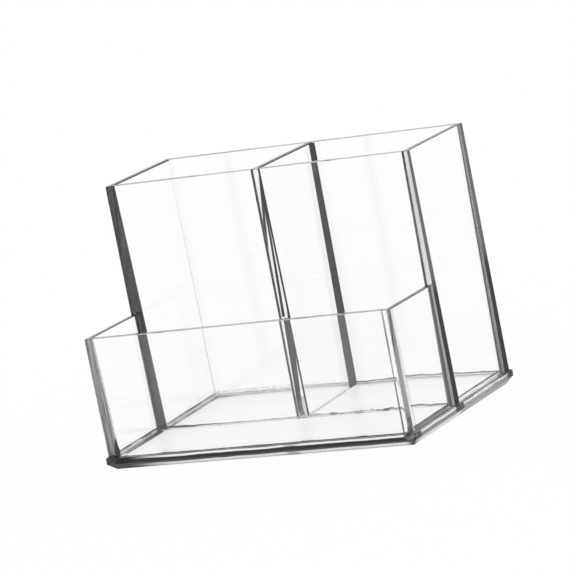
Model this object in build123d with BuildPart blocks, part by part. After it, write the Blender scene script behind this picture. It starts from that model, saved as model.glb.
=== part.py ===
"""Clear acrylic desk and vanity organizer: a low front tray and two tall compartments on one base plate.

Nine plates are cemented edge to face. The three cross walls (tray front, partition, back) run the full
width. The side walls and the divider stand between them, and every wall stands on the base plate.
Millimetres, +Z up, front towards -Y, origin at the middle of the underside.
"""

import os
from math import radians, tan

from build123d import *

os.makedirs("parts", exist_ok=True)

# Walls, measured over their outer faces
wall_width = 170.0
wall_depth = 115.0
tray_depth = 49.5  # tray's front face to the partition's front face, at the tall rim
tray_height = 67.5  # table to the tray's rim
tall_height = 134.0  # table to the rim of the tall compartments

# Sheet of the walls: thinnest at the rim, thicker towards the foot
rim_thickness = 3.0
wall_taper = 1.0  # degrees between the two faces of a wall
edge_polish = 0.3  # small bevel left on the exposed edges when they are polished

# Base plate, a little larger than the walls and bevelled underneath
base_thickness = 6.5
base_overhang = 1.2
base_bevel = 3.4

# Room for the cement film between two plates
cement_film = 0.1

# Places that follow from the sizes above
half_width = wall_width / 2
front_y = -wall_depth / 2
back_y = wall_depth / 2
partition_y = front_y + tray_depth + rim_thickness / 2
foot_z = base_thickness + cement_film


def thickness(rim_z, z):
    """Thickness at height z of a wall whose rim is at rim_z."""
    return rim_thickness + (rim_z - z) * tan(radians(wall_taper))


def tray_front_y(z):
    """The tray's front wall is upright outside, and tapers on its inner face."""
    return front_y, front_y + thickness(tray_height, z)


def partition_faces_y(z):
    """The partition has a compartment on both sides, so it tapers on both faces."""
    half = thickness(tall_height, z) / 2
    return partition_y - half, partition_y + half


def back_faces_y(z):
    """The back is upright outside, and tapers on its inner face."""
    return back_y - thickness(tall_height, z), back_y


def side_faces_x(side, rim_z, z):
    """A side wall is upright outside, and tapers on its inner face."""
    wall = thickness(rim_z, z)
    if side == "left":
        return -half_width, -half_width + wall
    return half_width - wall, half_width


def divider_faces_x(z):
    """The divider stands in the middle of the width, and tapers on both faces."""
    half = thickness(tall_height, z) / 2
    return -half, half


def tray_side_ends_y(z):
    """A tray side reaches from the tray's front wall to the partition."""
    return tray_front_y(z)[1] + cement_film, partition_faces_y(z)[0] - cement_film


def tall_side_ends_y(z):
    """A tall side, or the divider, reaches from the partition to the back."""
    return partition_faces_y(z)[1] + cement_film, back_faces_y(z)[0] - cement_film


def wall_section(faces_x, faces_y, z):
    """Level section through a wall at height z."""
    with BuildSketch(Plane.XY.offset(z)) as section:
        with Locations((sum(faces_x) / 2, sum(faces_y) / 2)):
            Rectangle(faces_x[1] - faces_x[0], faces_y[1] - faces_y[0])
    return section.sketch


full_width = (-half_width, half_width)

# Base plate: square upper edge, wide bevel all round underneath
with BuildPart() as base_plate:
    with BuildSketch():
        Rectangle(wall_width + 2 * base_overhang, wall_depth + 2 * base_overhang)
    extrude(amount=base_thickness)
    underside_edges = base_plate.edges().group_by(Axis.Z)[0]
    upper_edges = base_plate.edges().group_by(Axis.Z)[-1]
    chamfer(underside_edges, base_bevel)
    chamfer(upper_edges, edge_polish)
base_plate.part.label = "base_plate"
export_step(base_plate.part, "parts/base_plate.step")

# Front wall of the tray
with BuildPart() as tray_front:
    loft([wall_section(full_width, tray_front_y(z), z) for z in (foot_z, tray_height)])
    front_corners = tray_front.edges().filter_by(Axis.Z)
    rim_edges = tray_front.edges().group_by(Axis.Z)[-1]
    chamfer(front_corners + rim_edges, edge_polish)
tray_front.part.label = "tray_front"
export_step(tray_front.part, "parts/tray_front.step")

# Partition between the tray and the tall compartments
with BuildPart() as partition:
    loft([wall_section(full_width, partition_faces_y(z), z) for z in (foot_z, tall_height)])
    rim_edges = partition.edges().group_by(Axis.Z)[-1]
    chamfer(rim_edges, edge_polish)
partition.part.label = "partition"
export_step(partition.part, "parts/partition.step")

# Back wall of the tall compartments
with BuildPart() as back_panel:
    loft([wall_section(full_width, back_faces_y(z), z) for z in (foot_z, tall_height)])
    back_corners = back_panel.edges().filter_by(Axis.Z)
    rim_edges = back_panel.edges().group_by(Axis.Z)[-1]
    chamfer(back_corners + rim_edges, edge_polish)
back_panel.part.label = "back_panel"
export_step(back_panel.part, "parts/back_panel.step")

# Low side walls of the tray
for side in ("left", "right"):
    with BuildPart() as tray_side:
        loft(
            [
                wall_section(side_faces_x(side, tray_height, z), tray_side_ends_y(z), z)
                for z in (foot_z, tray_height)
            ]
        )
        rim_edges = tray_side.edges().group_by(Axis.Z)[-1]
        chamfer(rim_edges.filter_by(Axis.Y), edge_polish)
    tray_side.part.label = f"tray_{side}"
    export_step(tray_side.part, f"parts/tray_{side}.step")

# High side walls of the tall compartments
for side in ("left", "right"):
    with BuildPart() as tall_side:
        loft(
            [
                wall_section(side_faces_x(side, tall_height, z), tall_side_ends_y(z), z)
                for z in (foot_z, tall_height)
            ]
        )
        rim_edges = tall_side.edges().group_by(Axis.Z)[-1]
        chamfer(rim_edges.filter_by(Axis.Y), edge_polish)
    tall_side.part.label = f"tall_{side}"
    export_step(tall_side.part, f"parts/tall_{side}.step")

# Divider between the two tall compartments
with BuildPart() as divider:
    loft([wall_section(divider_faces_x(z), tall_side_ends_y(z), z) for z in (foot_z, tall_height)])
    rim_edges = divider.edges().group_by(Axis.Z)[-1]
    chamfer(rim_edges.filter_by(Axis.Y), edge_polish)
divider.part.label = "divider"
export_step(divider.part, "parts/divider.step")
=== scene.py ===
# %% [markdown]
# # A clear acrylic organizer
# Nine clear plates, cemented edge to face: a low tray in front, two tall compartments behind it, and a
# bevelled base plate under both. Nothing moves, so the whole object is one rigid body.
# The plates come from the CAD frame and keep their shape. This lesson gives them their finish, and adds
# what a maker's hands leave behind: the cement in the joints.

# %% Load the CAD frame
from collections import namedtuple
from math import cos, pi, radians, sin

import bmesh
import bpy
from mathutils import Matrix, Vector


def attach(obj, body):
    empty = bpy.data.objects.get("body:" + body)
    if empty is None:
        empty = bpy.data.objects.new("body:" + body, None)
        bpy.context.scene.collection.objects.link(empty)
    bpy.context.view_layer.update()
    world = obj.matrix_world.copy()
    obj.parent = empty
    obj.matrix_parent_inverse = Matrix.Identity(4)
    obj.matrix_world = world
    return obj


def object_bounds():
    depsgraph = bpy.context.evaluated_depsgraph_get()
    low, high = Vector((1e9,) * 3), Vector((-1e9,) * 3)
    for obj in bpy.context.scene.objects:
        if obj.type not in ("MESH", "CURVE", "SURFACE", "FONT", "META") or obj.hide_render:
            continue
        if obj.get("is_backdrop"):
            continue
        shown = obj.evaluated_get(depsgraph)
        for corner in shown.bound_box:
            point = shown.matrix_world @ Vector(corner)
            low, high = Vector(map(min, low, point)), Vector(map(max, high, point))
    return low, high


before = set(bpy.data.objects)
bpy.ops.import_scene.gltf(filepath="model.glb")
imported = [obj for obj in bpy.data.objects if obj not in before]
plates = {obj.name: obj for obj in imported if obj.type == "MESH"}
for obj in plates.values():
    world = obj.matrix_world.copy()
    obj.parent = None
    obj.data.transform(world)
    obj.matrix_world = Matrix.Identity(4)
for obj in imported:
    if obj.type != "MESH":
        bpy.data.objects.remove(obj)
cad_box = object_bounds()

MM = 0.001
print("plates:", ", ".join(sorted(plates)))

# %% [markdown]
# ## Helpers for materials
# Colours are written as sRGB hex, the way a colour picker shows them, and one function turns them into the
# linear values that the shader works in. Another adds a node with its settings and links, so that each
# material below reads as a short recipe.

# %% Colour and node helpers
def linear(hex_colour):
    """sRGB hex, such as "f5f5f8", as a linear RGBA colour."""
    channels = [int(hex_colour[i:i + 2], 16) / 255 for i in (0, 2, 4)]
    return tuple(c / 12.92 if c <= 0.04045 else ((c + 0.055) / 1.055) ** 2.4 for c in channels) + (1.0,)


def add_node(tree, kind, settings=None, inputs=None):
    """Adds a node. Inputs are given by name or number, as a value or as the socket to link from."""
    node = tree.nodes.new(kind)
    for key, value in (settings or {}).items():
        setattr(node, key, value)
    for key, value in (inputs or {}).items():
        if isinstance(value, bpy.types.NodeSocket):
            tree.links.new(value, node.inputs[key])
        else:
            node.inputs[key].default_value = value
    return node


def new_material(name):
    """A material with only its output node, its node tree and that node."""
    material = bpy.data.materials.new(name)
    material.use_nodes = True
    material.node_tree.nodes.clear()
    return material, material.node_tree, add_node(material.node_tree, "ShaderNodeOutputMaterial")


WHITE, BLACK = linear("ffffff"), linear("000000")
NOISE_LOW, NOISE_HIGH = 0.3, 0.7  # nearly all of a noise lies between these
print("mid grey in linear light:", round(linear("808080")[0], 3))

# %% [markdown]
# ## Clear acrylic sheet
# Acrylic (PMMA) bends light with an IOR of 1.49 and has a polished skin. Up close it isn't perfect: the
# sheet has a slow ripple from casting, a few centimetres across. Light that enters near an edge is trapped
# by total internal reflection and travels along the sheet, and that is why the edges look dark although the
# faces are almost invisible. The renderer works this out by itself, so the sheet stays a true dielectric.
# Two acrylic surfaces that are fused have nothing between them to reflect at, so their reflection is black.
# The floor has lost its shine with use, and is given the same.

# %% Clear acrylic
ACRYLIC_IOR = 1.49


def clear_acrylic(name, tint, roughness=0.0, ripple_mm=30.0, height_mm=0.002, gloss=WHITE):
    """Cast acrylic: clear, with a ripple in its skin. The gloss tints its reflections."""
    material, tree, output = new_material(name)
    place = add_node(tree, "ShaderNodeTexCoord").outputs["Object"]
    ripple = add_node(tree, "ShaderNodeTexNoise", inputs={
        "Vector": place, "Scale": 1 / (ripple_mm * MM), "Detail": 1.0})
    bump = add_node(tree, "ShaderNodeBump", inputs={
        "Height": ripple.outputs["Fac"], "Strength": 1.0, "Distance": height_mm * MM})
    shader = add_node(tree, "ShaderNodeBsdfPrincipled", inputs={
        "Base Color": linear(tint), "Roughness": roughness, "Normal": bump.outputs["Normal"],
        "IOR": ACRYLIC_IOR, "Specular Tint": gloss, "Transmission Weight": 1.0})
    tree.links.new(shader.outputs["BSDF"], output.inputs["Surface"])
    return material


# Walls: hardly anything but their edges is seen
wall_acrylic = clear_acrylic("cast_acrylic_wall", "fefefe")
# Underside of the base: a trace greyer, because the plate is thick
base_acrylic = clear_acrylic("cast_acrylic_base", "fcfcfd")
# Floor: dulled by what is set down on it, so it shows hardly any mirror image of the walls
satin_floor = clear_acrylic("satin_acrylic_floor", "ffffff", 0.4, ripple_mm=6.0, height_mm=0.02, gloss=BLACK)
# Spare cement: seen only where it is curved, as a thin line
cement_clear = clear_acrylic("cured_acrylic_cement", "fdfdfd", 0.02)
# Fused joint: not seen at all
fused_joint = clear_acrylic("fused_acrylic_joint", "fefefe", gloss=BLACK)
# Fogged joint: blurs what is behind it
fogged_joint = clear_acrylic("fogged_acrylic_joint", "fefefe", 0.2, gloss=BLACK)

for name, plate in plates.items():
    plate.data.materials.clear()
    plate.data.materials.append(base_acrylic if name == "base_plate" else wall_acrylic)
print("clear finish on", len(plates), "plates")

# %% [markdown]
# ## The edge of the base
# A thick bevelled edge gathers light from all around, and shows it as bands that run along the edge: a dark
# one in the middle, white ones beside it and a thin grey one at the foot. Under the tall compartments the
# bands are softer and speckled. Tracing them through the bevel would need the photographer's room, so they
# are painted by height instead, with a slow sway.

# %% Bands along the edge of the base
base_mesh = plates["base_plate"].data
BASE_MM = max(vertex.co.z for vertex in base_mesh.vertices) / MM
SWAY_MM = 18.0  # length of the sway of the bands
SWAY_SHARE = 0.16  # and its height, as a share of the thickness
SPECKLE_MM = 1.4
SPECKLE_DARK, SPECKLE_LIGHT = 0.6, 1.3  # what a speckle does to the grey
# height as a share of the thickness, and the grey from there
LOW_BANDS = (
    (0.00, "d0d0d0"), (0.13, "dcdcdc"), (0.17, "ffffff"), (0.30, "ffffff"), (0.36, "141416"),
    (0.76, "18181a"), (0.81, "ffffff"), (0.91, "ffffff"), (0.95, "606062"))
TALL_BANDS = (
    (0.00, "909092"), (0.06, "4c4c4e"), (0.50, "4c4c4e"), (0.54, "8c8c8e"), (0.78, "b8b8ba"),
    (0.82, "ffffff"), (0.91, "ffffff"), (0.95, "202022"))
TURN_MM = (-6.0, 0.0)  # the bands change over this stretch in y, below the partition

# Edge of the base: black and white lines, as in cut glass
base_edge, tree, edge_output = new_material("bevelled_acrylic_edge")
place = add_node(tree, "ShaderNodeTexCoord").outputs["Object"]
axes = add_node(tree, "ShaderNodeSeparateXYZ", inputs={0: place}).outputs
sway = add_node(tree, "ShaderNodeTexNoise", inputs={
    "Vector": place, "Scale": 1 / (SWAY_MM * MM), "Detail": 3.0})
lift = add_node(tree, "ShaderNodeMath", {"operation": "MULTIPLY_ADD"}, {
    0: sway.outputs["Fac"], 1: SWAY_SHARE, 2: -SWAY_SHARE / 2})
height = add_node(tree, "ShaderNodeMath", {"operation": "MULTIPLY_ADD"}, {
    0: axes["Z"], 1: 1 / (BASE_MM * MM), 2: lift.outputs[0]})
ramps = []
for bands in (LOW_BANDS, TALL_BANDS):
    ramp = add_node(tree, "ShaderNodeValToRGB", inputs={"Fac": height.outputs[0]})
    stops = ramp.color_ramp.elements
    stops.remove(stops[1])
    stops[0].position, stops[0].color = bands[0][0], linear(bands[0][1])
    for share, grey in bands[1:]:
        stops.new(share).color = linear(grey)
    ramps.append(ramp.outputs["Color"])
behind = add_node(tree, "ShaderNodeMapRange", {"interpolation_type": "SMOOTHSTEP"}, {
    "Value": axes["Y"], "From Min": TURN_MM[0] * MM, "From Max": TURN_MM[1] * MM}).outputs["Result"]
banded = add_node(tree, "ShaderNodeMix", {"data_type": "RGBA"}, {
    "Factor": behind, 6: ramps[0], 7: ramps[1]})
speckle = add_node(tree, "ShaderNodeTexNoise", inputs={
    "Vector": place, "Scale": 1 / (SPECKLE_MM * MM), "Detail": 2.0})
grain = add_node(tree, "ShaderNodeMapRange", inputs={
    "Value": speckle.outputs["Fac"], "From Min": NOISE_LOW, "From Max": NOISE_HIGH,
    "To Min": SPECKLE_DARK, "To Max": SPECKLE_LIGHT})
grained = add_node(tree, "ShaderNodeMix", {"data_type": "RGBA", "blend_type": "MULTIPLY"}, {
    "Factor": behind, 6: banded.outputs[2], 7: grain.outputs["Result"]})
print("bands:", len(LOW_BANDS), "stops beside the tray,", len(TALL_BANDS), "under the tall compartments")

# %% [markdown]
# ## Painted light and shade on that edge
# On the right, beside the tray, the bands are paler, and behind the edge is white: both are painted light. At
# the corners, and below the joints of partition and divider, light from several walls meets and the edge is
# nearly black: that is painted shade. Each of these places is a box with soft sides, inside which the bands
# give way to one grey. A mask like this needs no image, and keeps its place at any size of picture.

# %% Painted light and shade on the edge of the base
partition_points = [vertex.co for vertex in plates["partition"].data.vertices]
PARTITION_MM = sum(point.y for point in partition_points) / len(partition_points) / MM
# greys for painted light (pale) and painted shade (nearly black) on the edge of the base
PAINTED_LIGHT_GREY, DARK = linear("d0d0d2"), linear("1c1c1e")
JOINT_SPAN = ("Y", PARTITION_MM - 3.5, PARTITION_MM + 3.5, 2.5)
# grey and strength, then for each axis the span of the place and the fade beyond it, in mm
PAINTED_LIGHT_AND_SHADE = (
    (PAINTED_LIGHT_GREY, 0.3, ("X", 85, 120, 0.5), ("Y", -54, -8, 3)),
    (DARK, 1.0, ("X", -120, -76, 28), ("Y", -80, -54, 4)),
    (DARK, 1.0, ("X", -120, -76, 28), ("Y", 54, 80, 4)),
    (DARK, 1.0, ("X", 83, 120, 4), ("Y", -80, -54, 4)),
    (DARK, 1.0, ("X", 83, 120, 4), ("Y", 54, 80, 4)),
    (DARK, 1.0, ("X", -120, -82, 2), JOINT_SPAN, ("Z", 3.3, 12, 1.3)),
    (DARK, 1.0, ("X", 82, 120, 2), JOINT_SPAN, ("Z", 3.3, 12, 1.3)),
    (DARK, 0.5, ("X", 17, 19, 5), ("Y", -80, -54, 4)),
    (WHITE, 1.0, ("X", -70, 74, 6), ("Y", 55, 80, 0.5)),
)


def soft_box(tree, axes, sides):
    """1 inside a box and 0 outside it. Each side is an axis, a span on it and a fade beyond that, in mm."""
    inside = 1.0
    for axis, low, high, fade in sides:
        middle, half = (low + high) / 2, (high - low) / 2
        offset = add_node(tree, "ShaderNodeMath", {"operation": "SUBTRACT"}, {0: axes[axis], 1: middle * MM})
        distance = add_node(tree, "ShaderNodeMath", {"operation": "ABSOLUTE"}, {0: offset.outputs[0]})
        within = add_node(tree, "ShaderNodeMapRange", {"interpolation_type": "SMOOTHSTEP"}, {
            "Value": distance.outputs[0], "From Min": (half + fade) * MM, "From Max": half * MM})
        inside = add_node(tree, "ShaderNodeMath", {"operation": "MULTIPLY"}, {
            0: inside, 1: within.outputs["Result"]}).outputs[0]
    return inside


edge_colour = grained.outputs[2]
for grey, strength, *sides in PAINTED_LIGHT_AND_SHADE:
    share = add_node(tree, "ShaderNodeMath", {"operation": "MULTIPLY"}, {
        0: soft_box(tree, axes, sides), 1: strength})
    edge_colour = add_node(tree, "ShaderNodeMix", {"data_type": "RGBA"}, {
        "Factor": share.outputs[0], 6: edge_colour, 7: grey}).outputs[2]
shader = add_node(tree, "ShaderNodeBsdfPrincipled", inputs={
    "Base Color": edge_colour, "Roughness": 0.08, "IOR": ACRYLIC_IOR, "Specular IOR Level": 0.2,
    "Transmission Weight": 0.2})
tree.links.new(shader.outputs["BSDF"], edge_output.inputs["Surface"])

LEVEL = 0.99  # share of z in the normal of a level face
base_mesh.materials.append(satin_floor)
base_mesh.materials.append(base_edge)
for face in base_mesh.polygons:
    if face.normal.z > LEVEL:
        face.material_index = 1
    elif face.normal.z > -LEVEL:
        face.material_index = 2
counts = [sum(face.material_index == i for face in base_mesh.polygons) for i in range(3)]
print("base faces: underside, floor, edge", counts)

# %% [markdown]
# ## The corners of a plate
# The cement sits where two plates meet, so its pieces take their places from the plates themselves. Every
# wall tapers, so one box isn't enough: this reads the level rectangles at a wall's foot and at its rim.

# %% Read each wall's foot and rim
CROSS_WALLS = ("tray_front", "partition", "back_panel")
BETWEEN_WALLS = ("tray_left", "tray_right", "tall_left", "tall_right", "divider")
RIM_BEVEL = 0.4 * MM  # the polished bevel on a rim lies within this depth
Level = namedtuple("Level", "x y z")  # a level rectangle: its span in x and in y, and its height


def level_at(points, z):
    """The level rectangle around some points."""
    spans = [(min(p[axis] for p in points), max(p[axis] for p in points)) for axis in (0, 1)]
    return Level(*spans, z)


def foot_and_rim(name):
    """The level rectangles at a wall's foot and at its rim."""
    points = [vertex.co for vertex in plates[name].data.vertices]
    low, high = min(p.z for p in points), max(p.z for p in points)
    foot = level_at([p for p in points if p.z < low + 0.01 * MM], low)
    return foot, level_at([p for p in points if p.z > high - RIM_BEVEL], high)


levels = {name: foot_and_rim(name) for name in CROSS_WALLS + BETWEEN_WALLS}
for name, pair in levels.items():
    foot_mm, rim_mm = (min(at.x[1] - at.x[0], at.y[1] - at.y[0]) / MM for at in pair)
    print(f"{name}: {rim_mm:.1f} mm at the rim, {foot_mm:.1f} mm at the foot")

# %% [markdown]
# ## Cement film
# A solvent cement wets both plates and cures to the same plastic. Light then crosses the joint as if it were
# solid. A film that reaches a few hundredths of a millimetre into both plates does that in a path tracer, and
# without it each joint would be a mirror. Seven ends are left out here, because they weren't wetted well.

# %% Cement film in the joints
FILM = 0.1 * MM  # gap that the CAD leaves between two plates
LAP = 0.03 * MM  # how far the film reaches into each plate
# wall and its end, 0 in front and 1 behind
# this end carries a dark band of painted shade
SHADED_SAWN_END = ("tall_left", 0)
SCUFFED_END = ("tray_left", 0)
# this end widens that band with painted shade
SHADE_WIDENING_END = ("tray_left", 1)
FROSTED_END = ("tray_right", 1)
FOGGED_ENDS = (("tall_right", 0), ("tall_right", 1))
DRY_END = ("tall_left", 1)  # air is left in this joint
FACING = 0.9  # share of an axis in the normal of a face that looks along it


def add_block(bm, low, high):
    """A block with level rectangles low and high, each (x0, x1, y0, y1, z)."""
    corners = []
    for x0, x1, y0, y1, z in (low, high):
        corners += [bm.verts.new(p) for p in ((x0, y0, z), (x1, y0, z), (x1, y1, z), (x0, y1, z))]
    for face in ((3, 2, 1, 0), (4, 5, 6, 7), (0, 1, 5, 4), (1, 2, 6, 5), (2, 3, 7, 6), (3, 0, 4, 7)):
        bm.faces.new([corners[i] for i in face])


def add_end_film(bm, name, end):
    """Film on the front (0) or rear (1) end of a wall that stands between two cross walls."""
    out = 1 if end else -1
    rectangles = []
    for level in levels[name]:
        y = sorted((level.y[end] - out * LAP, level.y[end] + out * (FILM + LAP)))
        rectangles.append((*level.x, *y, level.z))
    add_block(bm, *rectangles)


def finish_piece(bm, name, material):
    """Turns a bmesh into a piece that rides on the frame."""
    bmesh.ops.recalc_face_normals(bm, faces=bm.faces)
    mesh = bpy.data.meshes.new(name)
    bm.to_mesh(mesh)
    bm.free()
    mesh.materials.append(material)
    piece = bpy.data.objects.new(name, mesh)
    bpy.context.scene.collection.objects.link(piece)
    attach(piece, "root")
    print(f"{name}: {len(mesh.polygons)} faces")


film = bmesh.new()
for end in [(name, side) for name in BETWEEN_WALLS for side in (0, 1)]:
    if end not in (SHADED_SAWN_END, SCUFFED_END, SHADE_WIDENING_END, FROSTED_END, *FOGGED_ENDS, DRY_END):
        add_end_film(film, *end)
for foot, _ in levels.values():
    add_block(film, (*foot.x, *foot.y, foot.z - FILM - LAP), (*foot.x, *foot.y, foot.z + LAP))
finish_piece(film, "cement_film", fused_joint)

for name in BETWEEN_WALLS:
    mesh = plates[name].data
    mesh.materials.append(fused_joint)
    for face in mesh.polygons:
        if abs(face.normal.y) > FACING:
            face.material_index = 1
print("fused ends on", len(BETWEEN_WALLS), "walls")

# %% [markdown]
# ## Grey acrylic
# Where the saw left its marks, or air and dust were taken into the cement, acrylic turns from clear to grey.
# Some of these greys are painted shade, set on ends and fillets at the joints. The grey is never even: saw
# marks run up an edge as streaks, and cement is cloudy in patches. One recipe serves for all of it, with a
# noise that is stretched to the size of the patches. Some of it also turns from dark to light between two
# heights, as painted shade below and painted light above, and the patches are then only a trace on that turn.

# %% Grey acrylic
STREAK_MM = (0.6, 0.6, 25.0)  # saw marks run up the joint
TRACE = 0.1  # how much of the patches is left where the grey turns with height
PATCH_LOW, PATCH_HIGH = 0.35, 0.65  # a noise is dark below the first and light above the second
CUT = {"Roughness": 0.1, "Specular Tint": BLACK, "Transmission Weight": 1.0}  # under cement, so no reflection
MATT = {"Roughness": 0.6, "Specular IOR Level": 0.1}
CURED = {"Roughness": 0.2, "Transmission Weight": 0.5}


def patches(tree, patch_mm):
    """A noise from 0 to 1, with patches of this size along x, y and z."""
    place = add_node(tree, "ShaderNodeTexCoord").outputs["Object"]
    stretched = add_node(tree, "ShaderNodeMapping", inputs={
        "Vector": place, "Scale": [1 / (size * MM) for size in patch_mm]})
    noise = add_node(tree, "ShaderNodeTexNoise", inputs={
        "Vector": stretched.outputs[0], "Scale": 1.0, "Detail": 2.0})
    return add_node(tree, "ShaderNodeMapRange", inputs={
        "Value": noise.outputs["Fac"], "From Min": PATCH_LOW, "From Max": PATCH_HIGH}).outputs["Result"]


def grey_acrylic(name, dark, light, patch_mm, finish, turn_mm=None):
    """Acrylic that is dark to light grey in patches, or that turns from dark to light between two heights."""
    material, tree, output = new_material(name)
    share = patches(tree, patch_mm)
    if turn_mm:
        place = add_node(tree, "ShaderNodeTexCoord").outputs["Object"]
        height = add_node(tree, "ShaderNodeSeparateXYZ", inputs={0: place}).outputs["Z"]
        turn = add_node(tree, "ShaderNodeMapRange", {"interpolation_type": "SMOOTHSTEP"}, {
            "Value": height, "From Min": turn_mm[0] * MM, "From Max": turn_mm[1] * MM})
        share = add_node(tree, "ShaderNodeMath", {"operation": "MULTIPLY_ADD"}, {
            0: share, 1: TRACE, 2: turn.outputs["Result"]}).outputs[0]
    grey = add_node(tree, "ShaderNodeMix", {"data_type": "RGBA"}, {
        "Factor": share, 6: linear(dark), 7: linear(light)})
    shader = add_node(tree, "ShaderNodeBsdfPrincipled", inputs={
        "Base Color": grey.outputs[2], "IOR": ACRYLIC_IOR, **finish})
    tree.links.new(shader.outputs["BSDF"], output.inputs["Surface"])
    return material


# Sawn edge: a dark band of painted shade at the joint, on an end left sawn
sawn_edge_painted_shade = grey_acrylic("sawn_acrylic_edge_painted_shade", "343436", "606062", STREAK_MM, CUT)
# Smear that dried before the plates met: nearly black lines
dry_smear = grey_acrylic("smeared_acrylic_cement", "08080a", "18181a", STREAK_MM, CUT)
# Dark cement in corners: painted shade, lighter near the rim as painted light
dark_cement_painted_shade_and_light = grey_acrylic("acrylic_cement_painted_shade_and_light", "2c2c2e", "5a5a5c", STREAK_MM, MATT, turn_mm=(114, 126))
# Cloudy cement with white streaks
cloudy_cement = grey_acrylic("cloudy_acrylic_cement", "88888a", "e0e0e2", STREAK_MM, CUT)
# Scuffed end: streaks of light grey
scuffed_end = grey_acrylic("scuffed_acrylic_end", "88888a", "f4f4f6", STREAK_MM, MATT)
# Painted shade on an end: a grey that widens the dark band beside it
widening_shade_end = grey_acrylic("acrylic_end_painted_shade", "3c3c3e", "5a5a5c", STREAK_MM, MATT)
# Frosted end: even and almost white
frosted_end = grey_acrylic("frosted_acrylic_end", "ececec", "f4f4f4", STREAK_MM, MATT)
print("streaks of", STREAK_MM[2], "mm")

# %% [markdown]
# ## Ends that show
# Seven ends show through the clear faces. One is sawn and carries a dark band of painted shade from rim to
# foot, and an end in front of it widens that band beside the tray with more painted shade. One is scuffed,
# one frosted, two are fogged and one stayed dry. On the front of the divider the cement had begun to dry, and
# was smeared into lines. Apart from the dry end, which has none, a film as thin as a sheet of paper carries
# each of these.

# %% Films on the ends that show
for piece, ends, material in (
    ("sawn_end_with_painted_shade_film", (SHADED_SAWN_END,), sawn_edge_painted_shade),
    ("scuffed_end_film", (SCUFFED_END,), scuffed_end),
    ("widening_shade_end_film", (SHADE_WIDENING_END,), widening_shade_end),
    ("frosted_end_film", (FROSTED_END,), frosted_end),
    ("fogged_end_film", FOGGED_ENDS, fogged_joint),
):
    film = bmesh.new()
    for name, end in ends:
        add_end_film(film, name, end)
    finish_piece(film, piece, material)

# share of the height, share of the wall's thickness, and width in mm
UPPER_SMEAR = ((0.95, 0.95, 0.8), (0.72, 0.75, 1.2), (0.405, 0.36, 1.6))
LOWER_SMEAR = ((0.40, 0.64, 2.0), (0.26, 0.42, 1.5), (0.12, 0.27, 1.2), (0.02, 0.18, 1.0))
foot, rim = levels["divider"]
smear = bmesh.new()
for path in (UPPER_SMEAR, LOWER_SMEAR):
    sections = []
    for height, across, width in path:
        z = foot.z + height * (rim.z - foot.z)
        x0, x1 = (foot.x[i] + height * (rim.x[i] - foot.x[i]) for i in (0, 1))
        x = x0 + across * (x1 - x0)
        y = foot.y[0] + height * (rim.y[0] - foot.y[0])
        sections.append((x - width / 2 * MM, x + width / 2 * MM, y + 2 * LAP, y + 4 * LAP, z))
    for high, low in zip(sections, sections[1:]):
        add_block(smear, low, high)
finish_piece(smear, "dry_streak", dry_smear)

# %% [markdown]
# ## Sawn ends and rims of the walls
# The three cross walls run past the side walls, so their ends are open to view. Those of the partition and
# the back were sawn and left matt, and are darker beside the tray, below its rim: painted shade, where less
# light comes in. The tray's front is scuffed at its left end and polished at its right one. A rim is sawn,
# scraped and buffed, but never becomes as clear as the sheet. The rims that run from front to back are seen
# along their length, and are darker, which is painted shade.

# %% Matt ends and buffed rims
# the painted shade on the sawn ends fades in and out over this height
SHADE_FADE_MM = 7.0  # above and below the tray's rim
UPWARD = 0.3  # share of z in the normal of a rim or its bevel, at least
tray_rim_mm = levels["tray_left"][1].z / MM
# Sawn end: a soft dark grey stripe, with painted shade below the tray's rim
sawn_end_with_painted_shade = grey_acrylic(
    "sawn_acrylic_end_with_painted_shade", "343436", "6c6c6e", STREAK_MM, MATT,
    turn_mm=(tray_rim_mm - SHADE_FADE_MM, tray_rim_mm + SHADE_FADE_MM))
# Rims across: thin grey lines. Rims along: darker ones, painted shade.
cross_rim = clear_acrylic("buffed_rim_cross", "909092", 0.1, gloss=linear("d0d0d2"))
side_rim_painted_shade = clear_acrylic("buffed_rim_side_painted_shade", "141416", 0.1, gloss=linear("303032"))

# open ends of a wall: their finish, and the sides that have it, -1 on the left and 1 on the right
OPEN_ENDS = {
    "tray_front": (scuffed_end, (-1,)), "partition": (sawn_end_with_painted_shade, (-1, 1)), "back_panel": (sawn_end_with_painted_shade, (-1, 1))}
for name, (_, rim) in levels.items():
    mesh = plates[name].data
    end_finish, end_sides = OPEN_ENDS.get(name, (sawn_end_with_painted_shade, ()))
    mesh.materials.append(cross_rim if name in CROSS_WALLS else side_rim_painted_shade)
    mesh.materials.append(end_finish)
    rim_slot, end_slot = len(mesh.materials) - 2, len(mesh.materials) - 1
    for face in mesh.polygons:
        if face.normal.z > UPWARD and face.center.z > rim.z - 2 * RIM_BEVEL:
            face.material_index = rim_slot
        elif abs(face.normal.x) > FACING and round(face.normal.x) in end_sides:
            face.material_index = end_slot
    used = {mesh.materials[face.material_index].name for face in mesh.polygons}
    print(name, "finish of the faces:", sorted(used))

# %% [markdown]
# ## Fillets
# Where two plates meet, spare cement runs into the inner corner and cures to a small hollow fillet. Its curve
# bends light sharply, and draws a thin line beside the joint. The clear fillets leave that line to the
# renderer; the grey and dark ones carry painted shade, which widens the dark bands at the joints. A fillet is
# an outline of two legs and an arc, stretched from one end of the corner to the other. It can differ in size
# between its ends.

# %% Fillets in the corners
ARC_STEPS = 6


def hollow(leg_u, leg_v):
    """Outline of a hollow fillet in a corner at (0, 0), with one leg along u and one along v."""
    turns = [pi / 2 * step / ARC_STEPS for step in range(ARC_STEPS + 1)]
    arc = [(leg_u * (1 - sin(turn)), leg_v * (1 - cos(turn))) for turn in turns]
    return [(-LAP, -LAP), (leg_u, -LAP), *arc, (-LAP, leg_v)]


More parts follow.
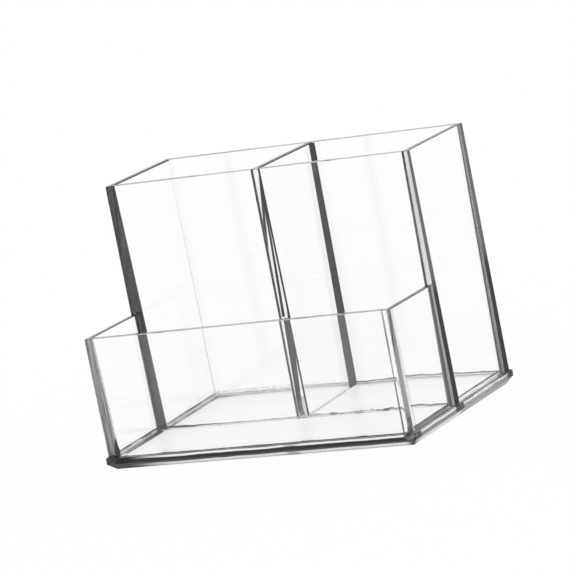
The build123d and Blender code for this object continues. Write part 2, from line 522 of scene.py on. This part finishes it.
def add_strip(bm, first, last):
    """A closed strip between two outlines, each a list of points in space."""
    rings = [[bm.verts.new(point) for point in outline] for outline in (first, last)]
    for i in range(len(first)):
        j = (i + 1) % len(first)
        bm.faces.new((rings[0][i], rings[0][j], rings[1][j], rings[1][i]))
    for ring in rings:
        bm.faces.new(ring)


def face_at(name, axis, side, z):
    """Where a wall's face is at height z: axis 0 for x or 1 for y, side 0 for the lower face or 1."""
    foot, rim = levels[name]
    share = (z - foot.z) / (rim.z - foot.z)
    return foot[axis][side] + share * (rim[axis][side] - foot[axis][side])


def add_corner(bm, wall, cross, to_x, to_y, legs):
    """Upright fillet between two walls. to_x and to_y (1 or -1) point from the corner into the open."""
    foot, rim = levels[wall]
    outlines = []
    for z, (leg_x, leg_y) in zip((foot.z, rim.z - RIM_BEVEL), legs):
        x = face_at(wall, 0, 1 if to_x > 0 else 0, z)
        y = face_at(cross, 1, 1 if to_y > 0 else 0, z)
        outlines.append([(x + to_x * u, y + to_y * v, z) for u, v in hollow(leg_x * MM, leg_y * MM)])
    add_strip(bm, *outlines)


# wall, cross wall, the way into the open, and the legs along x and y at the foot and at the rim, in mm
CLEAR_CORNERS = (
    ("tray_left", "tray_front", 1, 1, ((1.6, 1.6), (1.2, 1.2))),
    ("tray_right", "tray_front", -1, 1, ((1.2, 1.2), (0.8, 0.8))),
    ("divider", "back_panel", -1, -1, ((1.0, 1.0), (0.8, 0.8))),
    ("tall_left", "back_panel", 1, -1, ((0.6, 0.6), (0.1, 0.1))),
)
# grey fillets: painted shade beside the joints of the partition
GREY_SHADE_CORNERS = (
    ("tall_left", "partition", 1, 1, ((1.4, 1.4), (1.2, 1.2))),
    ("divider", "partition", -1, 1, ((1.0, 1.0), (1.1, 1.1))),
    ("divider", "partition", 1, 1, ((1.0, 1.0), (1.1, 1.1))),
    ("tall_right", "partition", -1, 1, ((1.2, 1.2), (1.0, 1.0))),
)
# dark fillets: painted shade, turning lighter near the rim as painted light
DARK_SHADE_CORNERS = (
    ("divider", "back_panel", 1, -1, ((0.5, 8.0), (1.7, 3.2))),
    ("tall_right", "back_panel", -1, -1, ((0.5, 2.0), (0.4, 0.8))),
    ("tray_right", "partition", -1, -1, ((2.4, 2.4), (1.6, 1.6))),
)
for piece, corners, material in (
    ("corner_fillets", CLEAR_CORNERS, cement_clear),
    ("grey_painted_shade_fillets", GREY_SHADE_CORNERS, sawn_edge_painted_shade),
    ("dark_painted_shade_fillets", DARK_SHADE_CORNERS, dark_cement_painted_shade_and_light),
):
    fillets = bmesh.new()
    for corner in corners:
        add_corner(fillets, *corner)
    finish_piece(fillets, piece, material)

FLOOR_Z = levels["partition"][0].z - FILM
FOOT_LEGS = (1.2 * MM, 2.2 * MM)  # over the floor, and up the tray's right side
foot = levels["tray_right"][0]
outlines = [[(foot.x[0] - u, y, FLOOR_Z + v) for u, v in hollow(*FOOT_LEGS)] for y in foot.y]
fillet = bmesh.new()
add_strip(fillet, *outlines)
finish_piece(fillet, "foot_fillet", cloudy_cement)

# %% [markdown]
# ## Runs of cement
# Along its foot each wall stands in a run of cement. The run is never even: it swells, thins and wanders by
# up to a millimetre, and a little is squeezed out over the floor beside it. Geometry Nodes suit this, because
# one tree serves every run: it takes plain lines along the feet, cuts them into short steps, moves the points
# by a noise and sweeps a round section along them, thicker and thinner by the same noise.

# %% Node tree for a wandering run
def cement_run_tree():
    """Geometry Nodes that turn lines into runs of cement."""
    tree = bpy.data.node_groups.new("cement_run", "GeometryNodeTree")
    tree.interface.new_socket("Geometry", in_out="INPUT", socket_type="NodeSocketGeometry")
    for name in ("Step", "Radius", "Wander", "Wave Length", "Swell", "Taper"):
        tree.interface.new_socket(name, in_out="INPUT", socket_type="NodeSocketFloat")
    tree.interface.new_socket("Material", in_out="INPUT", socket_type="NodeSocketMaterial")
    tree.interface.new_socket("Geometry", in_out="OUTPUT", socket_type="NodeSocketGeometry")
    given = add_node(tree, "NodeGroupInput").outputs
    curve = add_node(tree, "GeometryNodeMeshToCurve", inputs={"Mesh": given["Geometry"]})
    points = add_node(tree, "GeometryNodeResampleCurve", {"mode": "LENGTH"}, {
        "Curve": curve.outputs[0], "Length": given["Step"]})
    place = add_node(tree, "GeometryNodeInputPosition").outputs[0]
    waves = add_node(tree, "ShaderNodeMath", {"operation": "DIVIDE"}, {0: 1.0, 1: given["Wave Length"]})
    noise = add_node(tree, "ShaderNodeTexNoise", inputs={
        "Vector": place, "Scale": waves.outputs[0], "Detail": 2.0})
    centred = add_node(tree, "ShaderNodeVectorMath", {"operation": "MULTIPLY_ADD"}, {
        0: noise.outputs["Color"], 1: (2.0, 2.0, 2.0), 2: (-1.0, -1.0, -1.0)})
    shift = add_node(tree, "ShaderNodeVectorMath", {"operation": "SCALE"}, {
        0: centred.outputs[0], "Scale": given["Wander"]})
    moved = add_node(tree, "GeometryNodeSetPosition", inputs={
        "Geometry": points.outputs[0], "Offset": shift.outputs[0]})
    uneven = add_node(tree, "ShaderNodeMapRange", inputs={
        "Value": noise.outputs["Fac"], "From Min": NOISE_LOW, "From Max": NOISE_HIGH,
        "To Min": -1.0, "To Max": 1.0})
    swell = add_node(tree, "ShaderNodeMath", {"operation": "MULTIPLY_ADD"}, {
        0: uneven.outputs["Result"], 1: given["Swell"], 2: 1.0})
    radius = add_node(tree, "ShaderNodeMath", {"operation": "MULTIPLY"}, {
        0: swell.outputs[0], 1: given["Radius"]})
    along = add_node(tree, "GeometryNodeSplineParameter").outputs["Factor"]
    thinner = add_node(tree, "ShaderNodeMath", {"operation": "MULTIPLY"}, {0: along, 1: given["Taper"]})
    left_over = add_node(tree, "ShaderNodeMath", {"operation": "SUBTRACT"}, {
        0: 1.0, 1: thinner.outputs[0]})
    tapered = add_node(tree, "ShaderNodeMath", {"operation": "MULTIPLY"}, {
        0: radius.outputs[0], 1: left_over.outputs[0]})
    section = add_node(tree, "GeometryNodeCurvePrimitiveCircle", inputs={"Resolution": 6, "Radius": 1.0})
    run = add_node(tree, "GeometryNodeCurveToMesh", inputs={
        "Curve": moved.outputs[0], "Profile Curve": section.outputs[0], "Scale": tapered.outputs[0],
        "Fill Caps": True})
    plain = add_node(tree, "GeometryNodeRealizeInstances", inputs={0: run.outputs[0]})
    finished = add_node(tree, "GeometryNodeSetMaterial", inputs={
        "Geometry": plain.outputs[0], "Material": given["Material"]})
    add_node(tree, "NodeGroupOutput", inputs={0: finished.outputs[0]})
    return tree


def grow_piece(name, guide, tree, material, values):
    """Puts a bmesh through a node tree with these values, and makes a plain piece of what comes out."""
    mesh = bpy.data.meshes.new(name + "_guide")
    guide.to_mesh(mesh)
    guide.free()
    holder = bpy.data.objects.new(name + "_guide", mesh)
    bpy.context.scene.collection.objects.link(holder)
    modifier = holder.modifiers.new(tree.name, "NODES")
    modifier.node_group = tree
    for item in tree.interface.items_tree:
        if item.in_out == "INPUT" and item.name in values:
            modifier[item.identifier] = values[item.name]
        elif item.in_out == "INPUT" and item.name == "Material":
            modifier[item.identifier] = material
    seen = holder.evaluated_get(bpy.context.evaluated_depsgraph_get())
    grown = bpy.data.meshes.new_from_object(seen)
    bpy.data.objects.remove(holder)
    bm = bmesh.new()
    bm.from_mesh(grown)
    finish_piece(bm, name, material)


run_tree = cement_run_tree()
print("nodes in the tree:", len(run_tree.nodes))

# %% [markdown]
# ## Paths along the feet
# A path is a straight line along one side of a compartment's floor, moved a little inwards and up. Good
# cement is clear, so the runs differ mostly in how much air and dust they took in: dark where it was pressed
# out thick, and light grey where only a thin line is left. Each run gets its own radius and wander.

# %% Runs of cement along the feet
RUN_STEP = 1.0 * MM
COMPARTMENTS = {  # walls left, right, in front and behind
    "tray": ("tray_left", "tray_right", "tray_front", "partition"),
    "tall_left": ("tall_left", "divider", "partition", "back_panel"),
    "tall_right": ("divider", "tall_right", "partition", "back_panel"),
}


def foot_path(compartment, side, inset, rise, start=0.0, end=1.0):
    """A line along a side of a floor, inset and raised in mm, from one share of its length to another."""
    left, right, front, back = (levels[name][0] for name in COMPARTMENTS[compartment])
    x = left.x[1] + inset * MM, right.x[0] - inset * MM
    y = front.y[1] + inset * MM, back.y[0] - inset * MM
    z = FLOOR_Z + rise * MM
    ends = {"left": (x[0], y[0], x[0], y[1]), "right": (x[1], y[0], x[1], y[1]),
            "front": (x[0], y[0], x[1], y[0]), "back": (x[0], y[1], x[1], y[1])}[side]
    first, last = Vector((*ends[:2], z)), Vector((*ends[2:], z))
    return first.lerp(last, start), first.lerp(last, end)


def run_cement(name, paths, material, radius, wander, wave_length, swell=0.5, taper=0.0):
    """Runs of cement along straight paths. Radius, wander and wave length are in mm."""
    guide = bmesh.new()
    for path in paths:
        guide.edges.new([guide.verts.new(point) for point in path])
    grow_piece(name, guide, run_tree, material, {
        "Step": RUN_STEP, "Radius": radius * MM, "Wander": wander * MM, "Wave Length": wave_length * MM,
        "Swell": swell, "Taper": taper})


# Runs that took in air and dust: grey lines that fade in and out
seam_grey = grey_acrylic("grey_cement_seam", "2a2a2c", "c8c8ca", (14, 14, 14), CURED)
# Thin runs: light lines
seam_light = grey_acrylic("light_cement_seam", "78787a", "fafafc", (9, 9, 9), CURED)
# Runs pressed out thick: dark lines
seam_dark = grey_acrylic("dark_cement_seam", "0e0e10", "38383a", (20, 20, 20), CURED)
# Clean runs: a shadow at most
seam_faint = grey_acrylic("faint_cement_seam", "c0c0c2", "fcfcfe", (12, 12, 12), CURED)

wet = [foot_path(*side, 0.0, 1.7) for side in (
    ("tray", "right"), ("tall_left", "left"), ("tall_right", "right"))]
run_cement("wet_lines", wet, seam_grey, radius=0.4, wander=0.45, wave_length=12)
thick = [foot_path("tray", "left", inset, rise) for inset, rise in ((0.2, 1.9), (0.9, 0.0), (3.2, 0.0))]
run_cement("thick_lines", thick, seam_dark, radius=0.55, wander=0.4, wave_length=12)
tail = [foot_path("tray", "back", 0.2, 1.2, 0.0, 0.3)]
run_cement("thick_tail", tail, seam_dark, radius=0.6, wander=0.9, wave_length=14, taper=1.0)
clean = [foot_path("tray", "back", 0.2, 1.0, 0.12, 0.5)]
run_cement("clean_line", clean, seam_faint, radius=0.3, wander=0.5, wave_length=9)
ragged = [foot_path("tray", "back", 0.2, 1.2, 0.5, 0.85)]
run_cement("ragged_line", ragged, seam_light, radius=0.5, wander=0.9, wave_length=2.5, swell=0.8)
wavy = [foot_path("tray", "back", 0.2, 1.2, 0.85, 1.0), foot_path("tall_right", "back", 0.2, 1.2)]
run_cement("wavy_lines", wavy, seam_grey, radius=0.45, wander=1.1, wave_length=9)
thin = [foot_path(*side, 0.4, 0.0) for side in (
    ("tray", "right"), ("tall_left", "left"), ("tall_right", "left"), ("tall_right", "back"),
    ("tall_right", "right"))]
run_cement("floor_seams", thin, seam_light, radius=0.2, wander=0.3, wave_length=10)
squeezed = [foot_path("tall_left", "left", 2.2, 0.0)]
run_cement("squeezed_cement", squeezed, seam_grey, radius=0.4, wander=0.4, wave_length=9)

# %% [markdown]
# ## Bubbles
# Behind on the left, the cement foamed. Hundreds of bubbles smaller than half a millimetre cling to the foot
# of the back, over more than half its length. Points scattered on a flat strip, with a small ball set on
# each, make such a strip with a few nodes, and a fixed seed gives the same bubbles each time.

# %% Bubbles along the foot of the back
BUBBLE_SEED = 7
STRIP_MM = (0.2, 3.0)  # from the floor up
FOAM_SHARE = 0.6  # of the length of the foot, from the left
bubble_tree = bpy.data.node_groups.new("bubbles", "GeometryNodeTree")
bubble_tree.interface.new_socket("Geometry", in_out="INPUT", socket_type="NodeSocketGeometry")
for name in ("Density", "Smallest", "Largest"):
    bubble_tree.interface.new_socket(name, in_out="INPUT", socket_type="NodeSocketFloat")
bubble_tree.interface.new_socket("Seed", in_out="INPUT", socket_type="NodeSocketInt")
bubble_tree.interface.new_socket("Material", in_out="INPUT", socket_type="NodeSocketMaterial")
bubble_tree.interface.new_socket("Geometry", in_out="OUTPUT", socket_type="NodeSocketGeometry")
given = add_node(bubble_tree, "NodeGroupInput").outputs
scattered = add_node(bubble_tree, "GeometryNodeDistributePointsOnFaces", inputs={
    "Mesh": given["Geometry"], "Density": given["Density"], "Seed": given["Seed"]})
size = add_node(bubble_tree, "FunctionNodeRandomValue", {"data_type": "FLOAT"}, {
    2: given["Smallest"], 3: given["Largest"], "Seed": given["Seed"]})
ball = add_node(bubble_tree, "GeometryNodeMeshIcoSphere", inputs={"Radius": 1.0, "Subdivisions": 2})
placed = add_node(bubble_tree, "GeometryNodeInstanceOnPoints", inputs={
    "Points": scattered.outputs["Points"], "Instance": ball.outputs["Mesh"], "Scale": size.outputs[1]})
plain = add_node(bubble_tree, "GeometryNodeRealizeInstances", inputs={0: placed.outputs[0]})
finished = add_node(bubble_tree, "GeometryNodeSetMaterial", inputs={
    "Geometry": plain.outputs[0], "Material": given["Material"]})
add_node(bubble_tree, "NodeGroupOutput", inputs={0: finished.outputs[0]})

strip = bmesh.new()
low, high = (foot_path("tall_left", "back", 0.2, rise, 0.0, FOAM_SHARE) for rise in STRIP_MM)
strip.faces.new([strip.verts.new(point) for point in (low[0], low[1], high[1], high[0])])
grow_piece("cement_bubbles", strip, bubble_tree, seam_faint, {
    "Density": 3.0 / MM ** 2, "Smallest": 0.1 * MM, "Largest": 0.24 * MM, "Seed": BUBBLE_SEED})

# %% [markdown]
# ## Runs outside, and drips
# Outside, a run follows the walls all round on the base plate: thick and dark in front and on the right, and
# clean on the other two sides. In the tray, a drip ran down the right front corner, and a dark pool is left
# in the left one. These are the same runs as before, on other paths.

# %% Runs outside, and drips
x0, x1 = levels["tray_front"][0].x
y0, y1 = levels["tray_front"][0].y[0], levels["back_panel"][0].y[1]
loop = [Vector((x, y, FLOOR_Z)) for x, y in ((x1, y1), (x1, y0), (x0, y0), (x0, y1), (x1, y1))]
sides = list(zip(loop, loop[1:]))
run_cement("outer_foot_seam", sides[:2], seam_dark, radius=0.4, wander=0.1, wave_length=18, swell=0.2)
run_cement("rear_foot_seam", sides[2:], seam_faint, radius=0.3, wander=0.2, wave_length=18, swell=0.3)

DRIP_INSET, DRIP_HEIGHT, DRIP_LEAN = 2.4 * MM, 60 * MM, 1.0 * MM
DRIP_SHARE = 0.42  # of its height, the drip is thick, and only a wet line above
drip_foot = Vector((levels["tray_right"][0].x[0] - DRIP_INSET, levels["tray_front"][0].y[1], FLOOR_Z))
drip_top = drip_foot + Vector((DRIP_LEAN, -DRIP_LEAN, DRIP_HEIGHT))
drip_end = drip_foot.lerp(drip_top, DRIP_SHARE)
drip, wet_line = [(drip_foot, drip_end)], [(drip_end, drip_top)]
run_cement("corner_drip", drip, seam_grey, radius=0.55, wander=0.1, wave_length=20, swell=0.4)
run_cement("corner_wet_line", wet_line, seam_faint, radius=0.45, wander=0.1, wave_length=20, swell=0.4)

POOL_HEIGHT = 9 * MM
pool_foot = Vector((levels["tray_left"][0].x[1], levels["tray_front"][0].y[1], FLOOR_Z))
pool_top = pool_foot + Vector((0, 0, POOL_HEIGHT))
pool = [(pool_foot, pool_top)]
run_cement("corner_pool", pool, seam_dark, radius=1.5, wander=0.3, wave_length=6, taper=0.8)

# %% [markdown]
# ## Burr on the rims
# Scraping pushes a fine burr over the long edges of a rim. On the tall left wall and the divider it was never
# taken off, and makes their rims look heavier. It is about half a millimetre thick, and follows the edge.

# %% Burr along the rims
burr = []
for name in ("tall_left", "divider"):
    rim = levels[name][1]
    burr += [[Vector((x, y, rim.z - RIM_BEVEL)) for y in rim.y] for x in rim.x]
run_cement("rim_burr", burr, seam_dark, radius=0.3, wander=0.0, wave_length=20, swell=0.2)

# %% [markdown]
# ## Knobs
# At both ends of the three cross walls a knob of cement hangs over the edge of the base. A ball that is
# stretched, and pushed in and out by two waves, is enough for something so small. The knobs on the left are
# as dark as the painted shade on the edge below them.

# %% Knobs at the ends of the cross walls
# Mottled cement: dark and light flecks
knob_grey = grey_acrylic("mottled_cement_knob", "262628", "a4a4a6", (3, 3, 3), CURED)
joint_y = sum(levels["partition"][0].y) / 2
# place in y, and half sizes along x, y and z in mm
KNOBS = ((y0, (3.8, 2.2, 2.3)), (joint_y, (1.9, 2.6, 1.9)), (y1, (1.6, 1.6, 1.6)))
KNOB_OUT = 1.8  # how far a knob reaches past the wall sideways, in mm
KNOB_DROP = 1.2  # and how far its middle is below the floor
KNOB_BULGE = 0.12  # height of the waves, as a share of its size
WAVES_X, WAVES_Z = 7, 5  # of the two waves, radians over half a knob
SHIFT_X, SHIFT_Z = 3, 2  # of the waves for each mm of the knob's place, so that no two are alike
for piece, x, out, material in (("left_knobs", x0, -1, seam_dark), ("right_knobs", x1, 1, knob_grey)):
    knobs = bmesh.new()
    for y, half_sizes in KNOBS:
        middle = Vector((x + out * (KNOB_OUT - half_sizes[0]) * MM, y, FLOOR_Z - KNOB_DROP * MM))
        start_x, start_z = SHIFT_X * x / MM, SHIFT_Z * y / MM
        for vertex in bmesh.ops.create_icosphere(knobs, subdivisions=3, radius=1.0)["verts"]:
            waves = sin(WAVES_X * vertex.co.x + start_x) * cos(WAVES_Z * vertex.co.z + start_z)
            vertex.co = middle + vertex.co * Vector(half_sizes) * (1 + KNOB_BULGE * waves) * MM
    finish_piece(knobs, piece, material)

# %% [markdown]
# ## Studio
# The organizer stands on a white sweep in even, soft light. Rays that look straight at the sweep, or straight
# through the plates, see white. Light that was trapped in a plate comes out at its edges from the room
# around the sweep, which is darker everywhere but behind the object, and so the edges are drawn in grey.

# %% Light of the room
ROOM_DARK = linear("202022")
TRAPPED_FROM = 2.5  # reflections inside a plate after which a ray shows the room
STRAIGHT_BELOW = 0.5  # scatterings of such a ray, so none at all
BEHIND = (0.45, 0.65)  # how far a direction points to the back, from where the room is lit
STEEP = (0.3, 0.5)  # and how far up or down


def ray_masks(tree):
    """Two masks: rays that show the white sweep, and rays that were trapped in a plate."""
    path = add_node(tree, "ShaderNodeLightPath").outputs
    seen = add_node(tree, "ShaderNodeMath", {"operation": "MAXIMUM"}, {
        0: path["Is Camera Ray"], 1: path["Is Transmission Ray"]})
    seen = add_node(tree, "ShaderNodeMath", {"operation": "MAXIMUM"}, {
        0: seen.outputs[0], 1: path["Is Glossy Ray"]})
    deep = add_node(tree, "ShaderNodeMath", {"operation": "GREATER_THAN"}, {
        0: path["Glossy Depth"], 1: TRAPPED_FROM})
    straight = add_node(tree, "ShaderNodeMath", {"operation": "LESS_THAN"}, {
        0: path["Diffuse Depth"], 1: STRAIGHT_BELOW})
    trapped = add_node(tree, "ShaderNodeMath", {"operation": "MULTIPLY"}, {
        0: deep.outputs[0], 1: straight.outputs[0]})
    return seen.outputs[0], trapped.outputs[0]


world = bpy.data.worlds.new("studio")
bpy.context.scene.world = world
world.use_nodes = True
tree = world.node_tree
tree.nodes.clear()
direction = add_node(tree, "ShaderNodeTexCoord").outputs["Generated"]
axes = add_node(tree, "ShaderNodeSeparateXYZ", inputs={0: direction}).outputs
behind = add_node(tree, "ShaderNodeMapRange", inputs={
    "Value": axes["Y"], "From Min": BEHIND[0], "From Max": BEHIND[1]})
slope = add_node(tree, "ShaderNodeMath", {"operation": "ABSOLUTE"}, {0: axes["Z"]})
steep = add_node(tree, "ShaderNodeMapRange", inputs={
    "Value": slope.outputs[0], "From Min": STEEP[0], "From Max": STEEP[1]})
bright = add_node(tree, "ShaderNodeMath", {"operation": "MAXIMUM"}, {
    0: behind.outputs["Result"], 1: steep.outputs["Result"]})
room = add_node(tree, "ShaderNodeMix", {"data_type": "RGBA"}, {
    "Factor": bright.outputs[0], 6: ROOM_DARK, 7: WHITE})
_, trapped = ray_masks(tree)
sky = add_node(tree, "ShaderNodeMix", {"data_type": "RGBA"}, {
    "Factor": trapped, 6: WHITE, 7: room.outputs[2]})
light = add_node(tree, "ShaderNodeBackground", inputs={"Color": sky.outputs[2], "Strength": 1.0})
add_node(tree, "ShaderNodeOutputWorld", inputs={"Surface": light.outputs[0]})
print("world nodes:", len(tree.nodes))

# %% [markdown]
# ## White sweep
# The sweep is a wide sheet of white paper. It is matt, and so it takes the object's soft shadow, but most of
# what is seen of it is plain white, a little less so close to the object. A clear plate that lies on paper
# with air between them is a mirror when it is seen from so low. Without air it shows the paper. Trapped
# light passes through the paper to the room.

# %% White sweep and settings
SWEEP_RADIUS = 9.0  # metres
SWEEP_Z = 0.02 * MM  # the paper clings to the underside, a hair inside it, so no air is left between them
NEAR, FAR = 0.1, 0.4  # metres from the object's middle, between which the paper becomes plain
NEAR_SHARE = 0.96  # of plain white, close to the object
# Paper: plain white, with the softest of shadows
sweep_material, tree, output = new_material("white_paper")
seen, trapped = ray_masks(tree)
place = add_node(tree, "ShaderNodeTexCoord").outputs["Object"]
distance = add_node(tree, "ShaderNodeVectorMath", {"operation": "LENGTH"}, {0: place}).outputs["Value"]
plainness = add_node(tree, "ShaderNodeMapRange", inputs={
    "Value": distance, "From Min": NEAR, "From Max": FAR, "To Min": NEAR_SHARE, "To Max": 1.0})
share = add_node(tree, "ShaderNodeMath", {"operation": "MULTIPLY"}, {
    0: plainness.outputs["Result"], 1: seen})
matt = add_node(tree, "ShaderNodeBsdfDiffuse", inputs={"Color": linear("fafafa")})
white = add_node(tree, "ShaderNodeEmission", inputs={"Color": WHITE, "Strength": 1.0})
lit = add_node(tree, "ShaderNodeMixShader", inputs={
    0: share.outputs[0], 1: matt.outputs[0], 2: white.outputs[0]})
through = add_node(tree, "ShaderNodeBsdfTransparent")
shown = add_node(tree, "ShaderNodeMixShader", inputs={
    0: trapped, 1: lit.outputs[0], 2: through.outputs[0]})
tree.links.new(shown.outputs[0], output.inputs["Surface"])

paper = bmesh.new()
bmesh.ops.create_circle(
    paper, cap_ends=True, segments=96, radius=SWEEP_RADIUS, matrix=Matrix.Translation((0, 0, SWEEP_Z)))
sweep_mesh = bpy.data.meshes.new("white_sweep")
paper.to_mesh(sweep_mesh)
paper.free()
sweep_mesh.materials.append(sweep_material)
sweep = bpy.data.objects.new("white_sweep", sweep_mesh)
scene = bpy.context.scene
scene.collection.objects.link(sweep)
sweep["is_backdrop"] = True

scene.view_settings.view_transform = "Standard"
BOUNCES = 64  # clear plates behind each other need many
scene.cycles.max_bounces = BOUNCES
scene.cycles.transmission_bounces = BOUNCES
scene.cycles.glossy_bounces = BOUNCES
print("sweep radius", SWEEP_RADIUS, "m")

# %% [markdown]
# ## Camera
# A long lens from the front right, a little above the rims, with the picture turned so that the object leans.
# The numbers were found by fitting the corners of the plates.

# %% Camera
IMAGE_PX = 576
SENSOR_MM = 36.0
FOCAL_PX = 4071.3
AZIMUTH = radians(28.751)  # 0 looks along +Y, positive moves the camera towards +X
ELEVATION = radians(9.944)
ROLL = radians(-11.325)
DISTANCE = 2.0229
AIM = Vector((0, 0, 55 * MM))
SLIDE_RIGHT = 1.549 * MM
SLIDE_UP = 15.923 * MM

backward = Vector((sin(AZIMUTH) * cos(ELEVATION), -cos(AZIMUTH) * cos(ELEVATION), sin(ELEVATION)))
right = (-backward).cross(Vector((0, 0, 1))).normalized()
up = backward.cross(right)
turned_right = right * cos(ROLL) + up * sin(ROLL)
turned_up = up * cos(ROLL) - right * sin(ROLL)
camera_data = bpy.data.cameras.new("camera")
camera_data.sensor_width = SENSOR_MM
camera_data.lens = FOCAL_PX * SENSOR_MM / IMAGE_PX
camera_data.clip_end = 50.0
camera = bpy.data.objects.new("camera", camera_data)
scene.collection.objects.link(camera)
pose = Matrix((turned_right, turned_up, backward)).transposed().to_4x4()
pose.translation = AIM + backward * DISTANCE + right * SLIDE_RIGHT + up * SLIDE_UP
camera.matrix_world = pose
scene.camera = camera
print(f"lens {camera_data.lens:.1f} mm at {DISTANCE:.2f} m")

# %% [markdown]
# ## Size of the boxes
# The finished object must fill the same box as the plates alone, apart from a millimetre or so of cement
# outside. Both boxes are printed.

# %% Print the boxes
boxes = {"cad": cad_box, "visual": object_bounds()}
for name, (low, high) in boxes.items():
    print(name, "mm:", [round((b - a) / MM, 1) for a, b in zip(low, high)])
